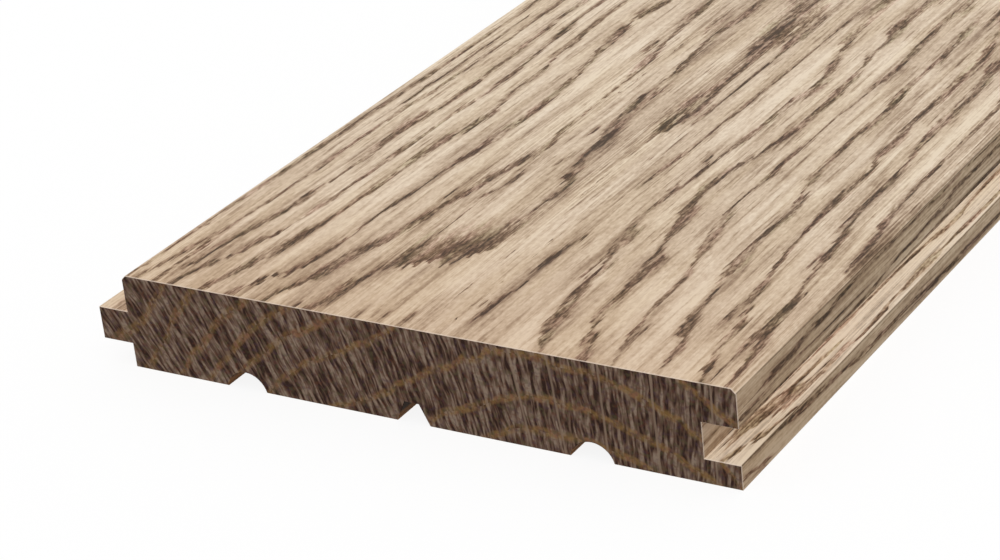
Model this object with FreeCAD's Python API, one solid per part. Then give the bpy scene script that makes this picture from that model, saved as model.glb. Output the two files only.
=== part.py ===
import FreeCAD, Part
import os

# Wide plank floorboard: one solid length of oak, tongued along one long edge and grooved along the other.
# Millimetres. +Y runs along the board, +Z points out of its face, and the tongue points to -X.
# The origin is on the plane of the underside, below the middle of the board's box.

# Board
LENGTH = 1200.0
COVER_WIDTH = 140.0  # what one board covers on the floor, without its tongue
THICKNESS = 21.0
EDGE_BEVEL = 1.0  # along both long edges of the face, at 45 degrees

# Groove along the +X edge
UPPER_LIP_THICKNESS = 8.2
GROOVE_HEIGHT = 7.6
GROOVE_DEPTH = 7.6

# Tongue along the -X edge, sized to slide into the groove of a like board
PLAY_ABOVE_TONGUE = 0.1
PLAY_BELOW_TONGUE = 0.2
TONGUE_TIP_GAP = 0.2

# Relief channels in the underside, evenly spaced between the two outer ones
CHANNEL_INSET_TONGUE_SIDE = 28.4  # from the tongue's shoulder to the first channel's middle
CHANNEL_INSET_GROOVE_SIDE = 31.6  # from the last channel's middle to the grooved edge
ROUND_CHANNEL_WIDTH = 9.4
ROUND_CHANNEL_DEPTH = 3.75
TAPERED_CHANNEL_WIDTH = 7.5
TAPERED_CHANNEL_ROOF = 3.25
TAPERED_CHANNEL_DEPTH = 4.5

# Places across the board
TONGUE_LENGTH = GROOVE_DEPTH - TONGUE_TIP_GAP
TONGUE_TIP_X = -(COVER_WIDTH + TONGUE_LENGTH) / 2
SHOULDER_X = TONGUE_TIP_X + TONGUE_LENGTH
GROOVED_EDGE_X = SHOULDER_X + COVER_WIDTH
GROOVE_WALL_X = GROOVED_EDGE_X - GROOVE_DEPTH

# Heights above the underside
GROOVE_ROOF_Z = THICKNESS - UPPER_LIP_THICKNESS
GROOVE_FLOOR_Z = GROOVE_ROOF_Z - GROOVE_HEIGHT
TONGUE_TOP_Z = GROOVE_ROOF_Z - PLAY_ABOVE_TONGUE
TONGUE_UNDERSIDE_Z = GROOVE_FLOOR_Z + PLAY_BELOW_TONGUE
BEVEL_FOOT_Z = THICKNESS - EDGE_BEVEL


def section_point(x, z):
    """A point of the section, on the plane of the board's near end."""
    return FreeCAD.Vector(x, -LENGTH / 2, z)


def straight_edges(points):
    """The straight edges from each point to the next."""
    return [Part.LineSegment(start, end).toShape() for start, end in zip(points, points[1:])]


def round_channel(middle_x):
    """Edges of a round channel: one arc from mouth to mouth."""
    half_mouth = ROUND_CHANNEL_WIDTH / 2
    start = section_point(middle_x - half_mouth, 0)
    crown = section_point(middle_x, ROUND_CHANNEL_DEPTH)
    end = section_point(middle_x + half_mouth, 0)
    return [Part.Arc(start, crown, end).toShape()]


def tapered_channel(middle_x):
    """Edges of a channel with a flat roof and walls that spread towards its mouth."""
    half_mouth = TAPERED_CHANNEL_WIDTH / 2
    half_roof = TAPERED_CHANNEL_ROOF / 2
    return straight_edges([
        section_point(middle_x - half_mouth, 0),
        section_point(middle_x - half_roof, TAPERED_CHANNEL_DEPTH),
        section_point(middle_x + half_roof, TAPERED_CHANNEL_DEPTH),
        section_point(middle_x + half_mouth, 0),
    ])


def underside_edges():
    """Edges from the tongue side's lower corner to the lower lip's, with the channels between flat strips."""
    channels = [round_channel, tapered_channel, round_channel]
    first_x = SHOULDER_X + CHANNEL_INSET_TONGUE_SIDE
    last_x = GROOVED_EDGE_X - CHANNEL_INSET_GROOVE_SIDE
    pitch = (last_x - first_x) / (len(channels) - 1)
    edges = []
    strip_start = section_point(SHOULDER_X, 0)
    for number, channel in enumerate(channels):
        channel_edges = channel(first_x + number * pitch)
        edges += straight_edges([strip_start, channel_edges[0].firstVertex().Point])
        edges += channel_edges
        strip_start = channel_edges[-1].lastVertex().Point
    edges += straight_edges([strip_start, section_point(GROOVED_EDGE_X, 0)])
    return edges


def upper_edges():
    """Edges from the lower lip's corner up the grooved edge, across the face and down the tongued edge."""
    return straight_edges([
        section_point(GROOVED_EDGE_X, 0),
        section_point(GROOVED_EDGE_X, GROOVE_FLOOR_Z),
        section_point(GROOVE_WALL_X, GROOVE_FLOOR_Z),
        section_point(GROOVE_WALL_X, GROOVE_ROOF_Z),
        section_point(GROOVED_EDGE_X, GROOVE_ROOF_Z),
        section_point(GROOVED_EDGE_X, BEVEL_FOOT_Z),
        section_point(GROOVED_EDGE_X - EDGE_BEVEL, THICKNESS),
        section_point(SHOULDER_X + EDGE_BEVEL, THICKNESS),
        section_point(SHOULDER_X, BEVEL_FOOT_Z),
        section_point(SHOULDER_X, TONGUE_TOP_Z),
        section_point(TONGUE_TIP_X, TONGUE_TOP_Z),
        section_point(TONGUE_TIP_X, TONGUE_UNDERSIDE_Z),
        section_point(SHOULDER_X, TONGUE_UNDERSIDE_Z),
        section_point(SHOULDER_X, 0),
    ])


def floorboard():
    """The board: its section run along its whole length, sawn square at both ends."""
    section = Part.Face(Part.Wire(underside_edges() + upper_edges()))
    return section.extrude(FreeCAD.Vector(0, LENGTH, 0))


os.makedirs("parts", exist_ok=True)
board = floorboard()
board.exportStep("parts/floorboard.step")
print("floorboard", board.ShapeType, "valid", board.isValid(), "volume", round(board.Volume), board.BoundBox)
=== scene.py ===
import math
import bpy
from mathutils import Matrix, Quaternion, Vector


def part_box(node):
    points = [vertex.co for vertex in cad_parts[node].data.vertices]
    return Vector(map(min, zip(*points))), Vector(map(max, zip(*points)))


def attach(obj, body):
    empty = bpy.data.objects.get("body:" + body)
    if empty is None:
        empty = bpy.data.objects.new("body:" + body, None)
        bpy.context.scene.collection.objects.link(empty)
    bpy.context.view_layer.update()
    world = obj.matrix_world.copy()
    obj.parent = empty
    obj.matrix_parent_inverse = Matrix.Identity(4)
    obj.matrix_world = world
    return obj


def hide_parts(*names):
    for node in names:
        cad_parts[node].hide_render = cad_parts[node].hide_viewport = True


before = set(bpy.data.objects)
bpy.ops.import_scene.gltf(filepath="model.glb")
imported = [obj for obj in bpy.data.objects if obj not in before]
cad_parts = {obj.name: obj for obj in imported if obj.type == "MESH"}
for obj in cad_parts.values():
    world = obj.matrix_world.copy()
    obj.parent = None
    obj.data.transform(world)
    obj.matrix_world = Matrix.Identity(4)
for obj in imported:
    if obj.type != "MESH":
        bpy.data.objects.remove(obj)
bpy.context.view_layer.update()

# Sizes in this script are in millimetres, and the scene is in metres.
# A place on the board is (across, along, up): across from the tongue's shoulder, along from the near end
# and up from the underside.
MM = 0.001
BOARD = "floorboard"
board_low, board_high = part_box(BOARD)
LENGTH = (board_high.y - board_low.y) / MM
THICKNESS = (board_high.z - board_low.z) / MM

# The board's section
TONGUE_LENGTH = 7.4
TONGUE_TOP = 12.7
TONGUE_UNDERSIDE = 5.4
GROOVE_DEPTH = 7.6
GROOVE_ROOF = 12.8
GROOVE_FLOOR = 5.2
EDGE_BEVEL = 1.0
COVER_WIDTH = (board_high.x - board_low.x) / MM - TONGUE_LENGTH
FIRST_CHANNEL = 28.4
LAST_CHANNEL = COVER_WIDTH - 31.6
MIDDLE_CHANNEL = (FIRST_CHANNEL + LAST_CHANNEL) / 2
ROUND_CHANNEL_WIDTH = 9.4
ROUND_CHANNEL_DEPTH = 3.75
ROUND_CHANNEL_STEPS = 16
TAPERED_CHANNEL_WIDTH = 7.5
TAPERED_CHANNEL_ROOF = 3.25
TAPERED_CHANNEL_DEPTH = 4.5
ARRIS = 0.1  # the sharp edges are eased by this much
SHARP_EDGE = math.radians(25)  # corners that turn by more than this are eased
SAME_HEIGHT = 0.01  # heights that differ by less count as the same

# The mesh: cells across the face, and stations along the board, closer together near the end that shows
FACE_STEP = 0.65
NEAR_LENGTH = 200
NEAR_STEP = 2
FAR_STEP = 5
LONG_GRAIN, END_GRAIN, CHANNEL = range(3)  # the slots of its materials

# The brushed face: how far the brush sinks the pores, and where that fades in from the face's sides and ends
PORE_DEPTH = 0.12
BRUSHED_FROM_SIDE = (1.5, 2.5)
BRUSHED_FROM_END = (0.5, 2.5)

# The map for baked colours: the long faces below, the two ends above them
MAP_NAME = "OFBake"
MAP_MARGIN = 0.004
MAP_LONG_FACES = 0.80
MAP_END_HEIGHT = 0.09
MAP_END_WIDTH = 0.63
MAP_FACE_WEIGHT = 2.0  # the face gets this many times the room of the other sides

# The camera that took the picture
CAMERA_PLACE = (360.49, -396.67, 266.13)
CAMERA_AZIMUTH = math.radians(34.065)
CAMERA_ELEVATION = math.radians(25.761)
CAMERA_ROLL = math.radians(-6.607)
CAMERA_LENS = 103.56
CAMERA_SENSOR = 36.0
CAMERA_NEAREST = 10

# Light and floor
SKY_STRENGTH = 0.38
KEY_STRENGTH = 2.05
KEY_FROM = (0.25, -0.2, 0.95)
KEY_SPREAD = math.radians(40)
FLOOR_SIZE = 40000
FLOOR_GAP = 0.1
FLOOR_COLOUR = 0.45
FLOOR_SHADOW = 0.3  # how much of the floor's look is its shadow, and the rest is white

# The wood's finish and noise
SPECULAR = 0.08  # of matt oiled wood
SEED_SHIFT = (17.3, 5.9, 11.7)  # how far each seed moves the noise


def place(across, along, up):
    """A point of the board, in metres in the frame."""
    return Vector((
        board_low.x + (TONGUE_LENGTH + across) * MM,
        board_low.y + along * MM,
        board_low.z + up * MM,
    ))


def srgb(red, green, blue):
    """A colour as a picture gives it, 0 to 255, turned into the light that it stands for."""
    light = []
    for value in (red, green, blue):
        share = value / 255
        light.append(share / 12.92 if share <= 0.04045 else ((share + 0.055) / 1.055) ** 2.4)
    return (*light, 1.0)


class Field:
    """A number that varies from place to place: a node's output, with arithmetic that adds Math nodes."""

    def __init__(self, socket):
        self.socket = socket
        self.tree = socket.id_data

    def math(self, operation, *others):
        node = self.tree.nodes.new("ShaderNodeMath")
        node.operation = operation
        for socket, value in zip(node.inputs, (self, *others)):
            plug(socket, value)
        return Field(node.outputs[0])

    def __add__(self, other):
        return self.math("ADD", other)

    def __sub__(self, other):
        return self.math("SUBTRACT", other)

    def __mul__(self, other):
        return self.math("MULTIPLY", other)

    def __truediv__(self, other):
        return self.math("DIVIDE", other)

    __radd__ = __add__
    __rmul__ = __mul__

    def __rsub__(self, other):
        return self * -1 + other

    def rise(self, low, high):
        """0 below low, 1 above high, and smooth between them."""
        node = self.tree.nodes.new("ShaderNodeMapRange")
        node.interpolation_type = "SMOOTHSTEP"
        plug(node.inputs["Value"], self)
        plug(node.inputs["From Min"], low)
        plug(node.inputs["From Max"], high)
        return Field(node.outputs["Result"])

    def share_curve(self, points):
        """The smooth curve through points of (this number, new number), both from 0 to 1."""
        node = self.tree.nodes.new("ShaderNodeFloatCurve")
        plug(node.inputs["Value"], self)
        node.mapping.extend = "HORIZONTAL"
        line = node.mapping.curves[0]
        line.points[0].location = points[0]
        line.points[1].location = points[-1]
        for point in points[1:-1]:
            line.points.new(*point)
        for point in line.points:
            point.handle_type = "AUTO_CLAMPED"
        node.mapping.update()
        return Field(node.outputs["Value"])

    def curve(self, points):
        """The smooth curve through points of (this number, new number)."""
        lows = [min(values) for values in zip(*points)]
        spans = [max(values) - min(values) for values in zip(*points)]
        shares = [[(value - low) / span for value, low, span in zip(point, lows, spans)] for point in points]
        return ((self - lows[0]) / spans[0]).share_curve(shares) * spans[1] + lows[1]


def plug(socket, value):
    """Links a field to a socket, or sets a plain value on it."""
    if isinstance(value, Field):
        value.tree.links.new(value.socket, socket)
    else:
        socket.default_value = value


def blend(share, first, second):
    """The number that goes from first to second as share goes from 0 to 1."""
    return share * (second - first) + first


def vector(x, y, z):
    """Three numbers, the last of them a field, as one vector socket."""
    node = z.tree.nodes.new("ShaderNodeCombineXYZ")
    for socket, value in zip(node.inputs, (x, y, z)):
        plug(socket, value)
    return node.outputs[0]


def split(point):
    """The three numbers of a vector socket."""
    node = point.id_data.nodes.new("ShaderNodeSeparateXYZ")
    point.id_data.links.new(point, node.inputs[0])
    return [Field(socket) for socket in node.outputs]


def moved(point, scale, shift):
    """A vector socket times scale, plus shift."""
    node = point.id_data.nodes.new("ShaderNodeVectorMath")
    node.operation = "MULTIPLY_ADD"
    point.id_data.links.new(point, node.inputs[0])
    node.inputs[1].default_value = scale
    node.inputs[2].default_value = shift
    return node.outputs[0]


def on_board(position):
    """A position socket in metres, turned into the place on the board."""
    start = place(0, 0, 0)
    return moved(position, (1 / MM,) * 3, [-part / MM for part in start])


def grain(width, length):
    """The size of spots that are drawn out along the grain."""
    return width, length, width


def even(size):
    """The size of spots that are as long as they are wide."""
    return (size,) * 3


def noise(point, size, seed, detail=1.0):
    """Random cloud, 0 to 1, whose spots have this size along each axis of the point."""
    node = point.id_data.nodes.new("ShaderNodeTexNoise")
    node.inputs["Scale"].default_value = 1.0
    node.inputs["Detail"].default_value = detail
    spread = moved(point, [1 / width for width in size], [seed * shift for shift in SEED_SHIFT])
    point.id_data.links.new(spread, node.inputs["Vector"])
    return Field(node.outputs["Fac"])


def sway(point, size, seed, reach, detail=1.0):
    """Random cloud that goes from minus half this reach to plus half of it."""
    return (noise(point, size, seed, detail) - 0.5) * reach


def spots(point, size, seed, edge, detail=1.0):
    """Random spots, 0 between them and 1 inside, whose edges lie between these two numbers of a cloud."""
    return noise(point, size, seed, detail).rise(*edge)


def white(number):
    """A random number, 0 to 1, for each whole number."""
    node = number.tree.nodes.new("ShaderNodeTexWhiteNoise")
    node.noise_dimensions = "1D"
    plug(node.inputs["W"], number)
    return Field(node.outputs["Value"])


def ramp(share, stops):
    """Colour socket that runs through stops of (share, colour)."""
    node = share.tree.nodes.new("ShaderNodeValToRGB")
    elements = node.color_ramp.elements
    while len(elements) < len(stops):
        elements.new(1.0)
    for element, (position, colour) in zip(elements, stops):
        element.position = position
        element.color = colour
    plug(node.inputs["Fac"], share)
    return node.outputs["Color"]


def tint(colour, where, shade, how="MIX"):
    """Colour socket with a shade of (share, colour) mixed in, fully at places where the field is 1."""
    share, other = shade
    node = colour.id_data.nodes.new("ShaderNodeMix")
    node.data_type = "RGBA"
    node.blend_type = how
    plug(node.inputs["Factor"], where * share)
    colour.id_data.links.new(colour, node.inputs["A"])
    node.inputs["B"].default_value = other
    return node.outputs["Result"]


def new_material(name):
    """A material with its shader, and the place on the board as a vector socket."""
    material = bpy.data.materials.new(name)
    material.use_nodes = True
    tree = material.node_tree
    shader = next(node for node in tree.nodes if node.type == "BSDF_PRINCIPLED")
    shader.inputs["Specular IOR Level"].default_value = SPECULAR
    coordinates = tree.nodes.new("ShaderNodeTexCoord")
    return material, shader, on_board(coordinates.outputs["Object"])


def finish_wood(shader, colour, roughness, height, relief):
    """Plugs a wood's colour, roughness and bump of this relief in millimetres into its shader."""
    tree = shader.id_data
    tree.links.new(colour, shader.inputs["Base Color"])
    plug(shader.inputs["Roughness"], roughness)
    bump = tree.nodes.new("ShaderNodeBump")
    bump.inputs["Distance"].default_value = relief * MM
    plug(bump.inputs["Height"], height)
    tree.links.new(bump.outputs["Normal"], shader.inputs["Normal"])


# Growth lines are drawn as far as this from the near end, and fade into the rings of the rest
DRAWN_LENGTH = 190
DRAWN_FADE = (165, 190)
GONE = 0.005  # the half width of a line that doesn't show

# Growth lines of the face, through their open pores: along, across and half width
GROWTH_LINES = [
    [(0, 1.6, 0.3), (20, 2.1, 0.5), (60, 2.6, 0.55), (90, 3.5, 0.45), (145, 4.3, 0.5), (190, 4.2, 0.5)],
    [(0, 3.4, 0.6), (6, 5, 0.55), (12, 6, 0.7), (26, 7.8, 0.45), (46, 8.8, 0.4), (58, 9.2, 0.65),
     (68, 9.2, 0.5), (95, 9.5, 0.55), (104, 10.4, 0.5), (140, 10.4, 0.45), (157, 10.6, 0.65),
     (190, 10.6, 0.5)],
    [(0, 8, 0.35), (25, 8.1, 0.35), (33, 8.2, GONE), (92, 6.6, GONE), (98, 6.8, 0.5), (118, 7.1, 0.45),
     (148, 7, 0.4), (154, 7, GONE), (190, 7, GONE)],
    [(0, 10, GONE), (6, 10.2, 0.5), (11, 11.3, 0.9), (20, 12.2, 1), (27, 13.5, 0.9), (36, 14.8, 0.7),
     (44, 15.3, 0.8), (50, 15.4, 0.2), (57, 15.8, 0.1), (64, 16.4, 0.7), (78, 15.8, 1), (90, 16.4, 1.3),
     (97, 17.2, 0.8), (125, 17, 0.9), (138, 16.4, 0.5), (145, 16.5, 0.8), (151, 15.7, 0.5),
     (164, 16, 0.8), (190, 16, 0.7)],
    [(0, 12.5, 0.7), (8, 14.2, 0.8), (13, 16, 0.6), (17, 17.8, 0.5), (22, 18.4, 0.85), (27, 19.7, 0.5),
     (34, 20.7, 0.35), (44, 21.1, 0.65), (52, 21.3, 0.4), (66, 21.9, 0.7), (84, 22, 0.4), (96, 22.2, 0.6),
     (105, 23, 0.5), (114, 22.6, 0.4), (124, 22.5, 0.65), (137, 21.4, 0.4), (146, 20.9, 0.85),
     (152, 20.3, 0.4), (190, 20, 0.5)],
    [(0, 20.3, 0.8), (6, 21.6, 0.9), (13, 23.2, 1.1), (20, 24.9, 1.1), (29, 26, 1), (38, 26.6, 0.6),
     (46, 27, 0.45), (53, 27.6, 0.85), (61, 27.2, 0.8), (70, 27.5, 0.8), (78, 28, 1), (87, 29.6, 1.1),
     (95, 30.6, 0.85), (101, 29.4, 0.7), (110, 28.7, 0.55), (124, 28.4, 0.5), (132, 26.6, 0.7),
     (138, 27, 0.95), (146, 26.1, 0.6), (156, 25.9, 0.65), (190, 26, 0.6)],
    [(0, 27.2, 0.8), (8, 30, 0.7), (12, 32.8, 0.7), (20, 34.8, 0.7), (28, 35.7, 0.6), (33, 35.8, 0.3),
     (37, 35.5, 0.5), (43, 35.4, 0.2), (53, 36.1, 0.6), (60, 36.6, 0.45), (70, 36.8, 0.6), (78, 38.1, 0.85),
     (88, 38.6, 1), (100, 39.2, 1), (118, 38.3, 0.8), (127, 37.2, 0.85), (134, 36.1, 0.7),
     (142, 35.5, 1.2), (151, 34.6, 1.2), (155, 34.2, 0.1), (160, 34.3, 1.2), (167, 35.6, 1.1),
     (190, 36.5, 0.8)],
    [(0, 35.4, 0.3), (5, 36.2, 0.6), (10, 38.4, 0.9), (13, 39.8, 1.7), (20, 40.8, 1.6), (27, 42.1, 1.3),
     (34, 44.5, 1.2), (44, 45.8, 1.1), (52, 46.8, 1), (60, 48, 1), (68, 49.4, 1.1), (76, 51, 1.1),
     (84, 52, 0.7), (90, 51, 0.4), (112, 50.5, 0.45), (125, 50.2, 0.7), (133, 50, 1.1),
     (140, 48.9, 0.9), (148, 47.8, 0.6), (162, 46.8, 0.9), (190, 46, 0.7)],
    [(0, 46.6, 1), (5, 48, 1.2), (12, 48.7, 1.4), (18, 50.2, 0.8), (23, 51.6, 0.9), (27, 52.4, 0.1),
     (190, 52.4, GONE)],
    [(0, 65.4, GONE), (57, 65.4, 0.3), (61, 65.7, 1), (67, 65.6, 0.8), (71, 64, 1), (76, 63, 1),
     (83, 61.8, 1), (90, 61.4, 1.7), (96, 60, 1.7), (104, 59.3, 1.2), (115, 58.6, 1.3), (121, 58.4, 0.5),
     (128, 58.9, 0.7), (140, 57.6, 0.6), (148, 56.8, 0.9), (157, 57, 0.7), (166, 57.8, 0.8),
     (190, 56.5, 1.2)],
    [(0, 71.8, GONE), (92, 71.8, 0.1), (98, 72, 0.8), (106, 73, 2.6), (113, 73.2, 2.8),
     (121, 73, 1.6), (138, 72.8, 0.9), (148, 72.4, 2.6), (158, 73.5, 4), (190, 72, 4.5)],
    [(0, 76.6, GONE), (102, 76.6, 0.1), (107, 76.8, 0.6), (140, 77.2, 0.4), (150, 77, 0.6),
     (157, 77, 2.2), (163, 77.3, 1), (190, 77.5, 0.7)],
    [(0, 81.8, GONE), (66, 81.8, GONE), (73, 81.7, 0.5), (100, 82.6, 0.45), (190, 84, 0.4)],
    [(0, 99, 0.9), (4, 97, 1), (9, 95.3, 1.2), (15, 94.2, 1.6), (22, 93.2, 1.2), (29, 92.6, 1.1),
     (33, 92.2, 0.3), (42, 91, 0.4), (47, 90, 1.3), (53, 88.8, 1.5), (58, 88.4, 0.6), (66, 88.5, 0.8),
     (71, 88.2, 0.9), (76, 89.3, 0.4), (90, 89.9, 0.5), (99, 90.8, 0.9), (119, 91.5, 0.8), (133, 92.8, 1.2),
     (140, 91.6, 1), (151, 89.6, 0.6), (157, 88, 1.5), (165, 87.3, 0.9), (190, 88, 0.8)],
    [(0, 107.4, 0.9), (6, 105.5, 1.1), (12, 103.3, 0.7), (18, 101.5, 0.8), (28, 101.6, 0.8),
     (34, 100.8, 1.2), (42, 100.3, 1.8), (46, 99.6, 0.7), (52, 98.1, 0.7), (59, 97.4, 0.9), (64, 96, 1.5),
     (70, 94.8, 1), (78, 94.3, 0.9), (87, 95.2, 0.8), (91, 97, 0.6), (98, 97.7, 0.4), (112, 98.8, 0.9),
     (140, 98.4, 0.9), (146, 97.8, 0.5), (152, 96.8, 0.7), (160, 97, 0.7), (167, 95.6, 1.5),
     (190, 95, 1.2)],
    [(0, 114, 0.3), (6, 113.3, 0.5), (10, 112.6, 0.6), (14, 111.9, 1), (20, 110.6, 0.6),
     (30, 110, 0.5), (36, 109.8, 0.5), (41, 109, 0.6), (44, 108.4, 0.2), (48, 107.5, 0.8),
     (54, 106.2, 1.1), (62, 105.4, 0.7), (72, 103.9, 0.45), (81, 104.2, 0.5), (85, 104.6, 0.9),
     (90, 104.2, 0.5), (106, 104.4, 0.35), (130, 105.2, 0.2), (138, 105.5, 0.7), (144, 106, 0.95),
     (150, 105.6, 0.5), (160, 105.1, 0.7), (190, 104, 0.5)],
    [(0, 124, 0.1), (7, 123, 0.4), (12, 122.2, 0.85), (17, 120.4, 1), (22, 119, 1.2),
     (28, 118.8, 0.5), (34, 117.9, 0.5), (40, 116.6, 0.9), (48, 116.2, 1.2), (56, 115.8, 0.9),
     (64, 116.2, 0.6), (70, 116.4, 1), (77, 115.6, 0.6), (82, 114.1, 0.4), (87, 113.3, 1),
     (94, 113, 0.5), (106, 112.7, 0.5), (113, 113, 0.8), (122, 113.4, 0.9), (138, 112, 0.8),
     (144, 112.5, 0.3), (151, 112.7, 1), (158, 112.4, 0.8), (190, 111, 0.8)],
    [(0, 132.4, 0.6), (8, 130.4, 0.6), (15, 129.4, 0.8), (22, 129.3, 0.7), (27, 128.2, 0.6),
     (32, 126, 0.8), (40, 125.6, 0.7), (46, 124.8, 0.4), (62, 123.2, 0.5), (70, 122.6, 0.6),
     (80, 122.6, 0.9), (90, 122.8, 0.8), (96, 123.2, 0.5), (101, 121.5, 0.6), (110, 121.8, 0.9),
     (120, 121, 0.7), (130, 121.3, 0.9), (141, 121.3, 1.1), (155, 121.5, 1.2), (168, 119.5, 0.7),
     (190, 117, 0.5)],
    [(0, 134.3, GONE), (12, 134.1, 0.3), (20, 133.9, 0.8), (30, 134, 1), (38, 133.7, 0.6),
     (46, 132.5, 0.5), (54, 131.7, 0.9), (62, 131, 0.8), (68, 129.4, 0.9), (78, 128.8, 0.9),
     (97, 128.8, 0.8), (104, 128.3, 0.6), (120, 127, 0.9), (138, 127.1, 1.1), (150, 126.8, 1),
     (190, 126, 0.8)],
    [(0, 138, 0.5), (8, 137.2, 0.65), (16, 136.2, 0.8), (24, 135.4, 0.5), (34, 135.2, 0.35),
     (42, 135.2, GONE), (47, 138.4, GONE), (51, 138.3, 0.5), (60, 137.8, 0.8), (68, 137, 0.6),
     (74, 135.8, 0.6), (100, 135.4, 0.5), (126, 135.2, 0.65), (190, 134, 0.5)],
]

# The arch of open pores: its sharp lower edge as (across, along), and how far along it fades out
ARCH_EDGE = [
    (49.8, 16.5), (50.6, 19), (51.4, 21.5), (53, 22.6), (55.2, 23), (56.8, 25.2), (58, 27.2), (60, 26.4),
    (62.3, 25.4), (62.9, 29), (63.6, 31), (65.8, 31.8), (67.2, 33.2), (68, 36),
]
ARCH_RISE = 0.9
ARCH_FADE = (8, 25)

# Single marks of open pores: from (across, along) to (across, along), half width and strength
MARKS = [
    (63.4, 32, 64.2, 41, 1.6, 1),
    (60.3, 27, 61, 33, 1.8, 1),
    (52.2, 22, 55.4, 26, 1.4, 1),
    (66.8, 33, 67.5, 46, 0.5, 0.9),
    (67.5, -1, 67.6, 6, 0.7, 0.9),
    (57, -1, 57.2, 4.5, 0.6, 0.75),
    (60.1, -1, 60.1, 4, 0.5, 0.75),
    (62.4, -1, 62.6, 5.5, 0.5, 0.7),
    (43, -1, 43.2, 4, 0.7, 0.75),
    (51.4, 54, 51.8, 59, 0.6, 0.9),
    (53.3, 62, 53.9, 73, 0.6, 0.9),
    (44, 51, 44.5, 61, 0.7, 0.6),
    (80, 8, 80.5, 19, 0.9, 1),
    (80.9, 17, 81.8, 26, 0.35, 0.95),
    (80.6, 29.5, 80.8, 41, 0.9, 1),
    (81.2, 38, 82.4, 47, 0.35, 0.95),
    (78, 9, 78.4, 16, 0.4, 0.65),
    (58.3, 75, 59.1, 82, 0.6, 0.7),
    (57.2, 93, 57.4, 98, 0.5, 0.85),
    (60.8, 104, 61, 131, 0.45, 0.65),
    (90.6, 30, 90.9, 46, 0.6, 0.8),
    (93.4, 31, 93.7, 42, 0.8, 0.8),
    (125.4, 18, 125.8, 34, 0.8, 0.9),
    (130.6, 47, 130.8, 57, 0.5, 0.75),
    (88.3, 85, 88.4, 89, 0.6, 0.9),
    (45.9, 137, 45.9, 147, 0.7, 0.8),
    (45.7, 156, 46.2, 163, 1.3, 0.75),
    (53.8, 151, 53.4, 170, 1.4, 0.7),
    (125.5, 148, 125.6, 156, 0.6, 0.85),
]

# Growth lines of the groove's side: along, up and half width. One starts as painted shade along the top edge
# of the lower lip's side.
SIDE_LINES = [
    [(0, 14.4, GONE), (2, 14.6, 0.1), (3.5, 14.75, 0.45), (7, 14.85, 0.4), (12, 15.05, 0.35),
     (20, 15.5, 0.2), (30, 15.4, 0.1), (45, 15.3, 0.1), (60, 15.2, GONE), (190, 15.2, GONE)],
    [(0, 16.2, GONE), (9, 16.5, 0.1), (11, 16.8, 0.4), (15, 17.3, 0.5), (23, 17.4, 0.45), (26, 18, 0.45),
     (31, 18.4, 0.5), (37, 18.2, 0.4), (42, 18.9, 0.35), (48, 19.3, 0.3), (60, 19.5, 0.2), (190, 19.5, 0.1)],
    [(0, 13.2, 0.15), (45, 13.5, 0.2), (52, 13.7, 0.25), (60, 14, 0.25), (65, 14.6, 0.2), (70, 15.3, 0.2),
     (77, 15.4, 0.2), (84, 16, 0.25), (91, 16.2, 0.4), (95, 16.9, 0.4), (100, 17.5, 0.45),
     (110, 17.3, 0.3), (120, 17.4, 0.4), (190, 17.4, 0.3)],
    [(0, 13, GONE), (80, 13.4, 0.1), (95, 13.6, 0.25), (125, 13.5, 0.3), (190, 13.5, 0.3)],
    # Its first stretch is painted shade along the lip side's top edge. Past that it is a growth line.
    [(0, 4.9, 0.15), (13, 4.7, 0.2), (16, 4.4, 0.45), (20, 4, 0.5), (26, 3.6, 0.45), (33, 3.4, 0.45),
     (38, 3.1, 0.3), (45, 2.9, 0.2), (49, 2.4, 0.4), (54, 2, 0.45), (58, 1.9, 0.25), (61, 2.2, 0.4),
     (66, 2.1, 0.3), (75, 2, 0.45), (81, 1.7, 0.5), (86, 1.3, 0.5), (92, 1.1, 0.4), (97, 1, 0.35),
     (104, 1.4, 0.4), (125, 1.3, 0.25), (190, 1.3, 0.3)],
    [(0, 2.3, 0.45), (3, 1.8, 0.5), (6, 1.3, 0.45), (9, 0.6, 0.4), (13, 0, GONE), (190, 0, GONE)],
]

# Growth lines on top of the groove's lower lip: along, across and half width
LIP_LINES = [
    [(0, 136.1, 0.35), (4, 136.6, 0.4), (8, 137.6, 0.35), (12, 138.7, 0.45), (18, 139.3, 0.3),
     (26, 139.9, GONE), (190, 139.9, GONE)],
    [(0, 134.2, GONE), (5, 134.5, 0.1), (6.5, 134.65, 0.3), (12, 134.9, 0.35), (16, 135.6, 0.5),
     (24, 136.3, 0.6), (30, 136.9, 0.45), (36, 137.4, 0.2), (45, 137.6, GONE), (190, 138, GONE)],
    [(0, 133.4, GONE), (9, 133.7, 0.1), (12, 133.9, 0.45), (20, 134.4, 0.5), (27, 135.4, 0.35),
     (36, 135.9, 0.3), (43, 136.1, 0.3), (55, 136.3, GONE), (190, 136.5, GONE)],
    [(0, 137.2, GONE), (19, 137.5, 0.1), (22, 137.7, 0.35), (27, 138, 0.4), (34, 138.35, 0.3),
     (41, 138.5, 0.45), (48, 138.4, 0.4), (53, 138.8, 0.2), (58, 139.1, 0.3), (66, 139, 0.35),
     (70, 138.4, 0.3), (78, 138.6, 0.5), (90, 138.6, 0.55), (98, 138.6, 0.2), (110, 138.9, 0.3),
     (190, 139.2, 0.4)],
    [(0, 133, GONE), (44, 133.8, 0.1), (50, 133.9, 0.3), (60, 134, 0.35), (66, 133.9, 0.2),
     (85, 134.1, 0.35), (95, 134.6, 0.35), (100, 135.2, 0.4), (110, 135.6, 0.3), (116, 135.1, 0.35),
     (130, 135, 0.4), (190, 135, 0.4)],
]

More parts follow.
